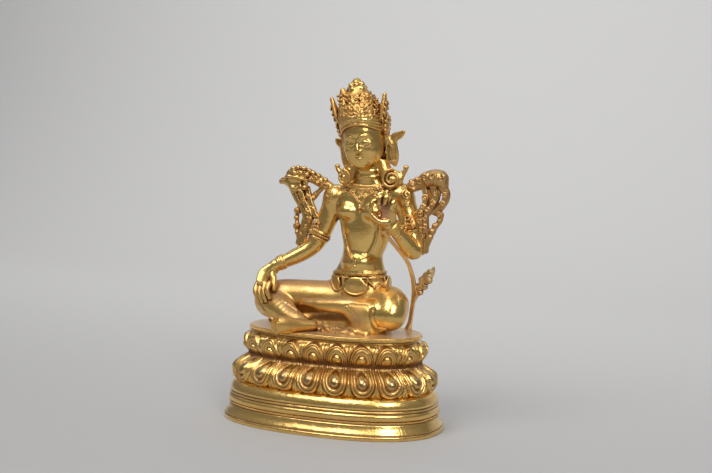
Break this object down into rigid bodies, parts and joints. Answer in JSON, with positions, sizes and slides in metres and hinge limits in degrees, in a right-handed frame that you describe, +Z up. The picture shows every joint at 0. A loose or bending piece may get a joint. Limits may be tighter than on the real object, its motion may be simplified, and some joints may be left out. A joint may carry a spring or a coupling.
{
  "type": "seated tara figure on a double-lotus throne",
  "caption": "Gilt bronze seated Tara with a tall crown and lotus sprays at the shoulders, on an oval double-lotus throne over a stepped plinth.",
  "frame": {"origin": "middle of the base's underside, on the surface the object stands on", "axes": "+Z up; the figure looks along -Y; +X is the figure's own left"},
  "size_m": [0.165, 0.1038, 0.2485],
  "materials": {
    "gilt_base": "fire-gilt bronze, bright on the mouldings, red-brown dirt in the carving",
    "gilt_figure": "polished fire-gilt bronze, dull where it is carved",
    "gilt_spray": "gilt bronze, dull, with dirt in the openwork",
    "worn_spray": "worn gilt bronze, brown at the blossom",
    "gilt_stem": "gilt bronze, worn to a brown edge"
  },
  "bodies": {
    "root": {"base": "gilt_base", "figure": "gilt_figure", "right_lotus_spray": "gilt_spray", "left_lotus_spray": "worn_spray", "lotus_stem": "gilt_stem"}
  },
  "joints": []
}
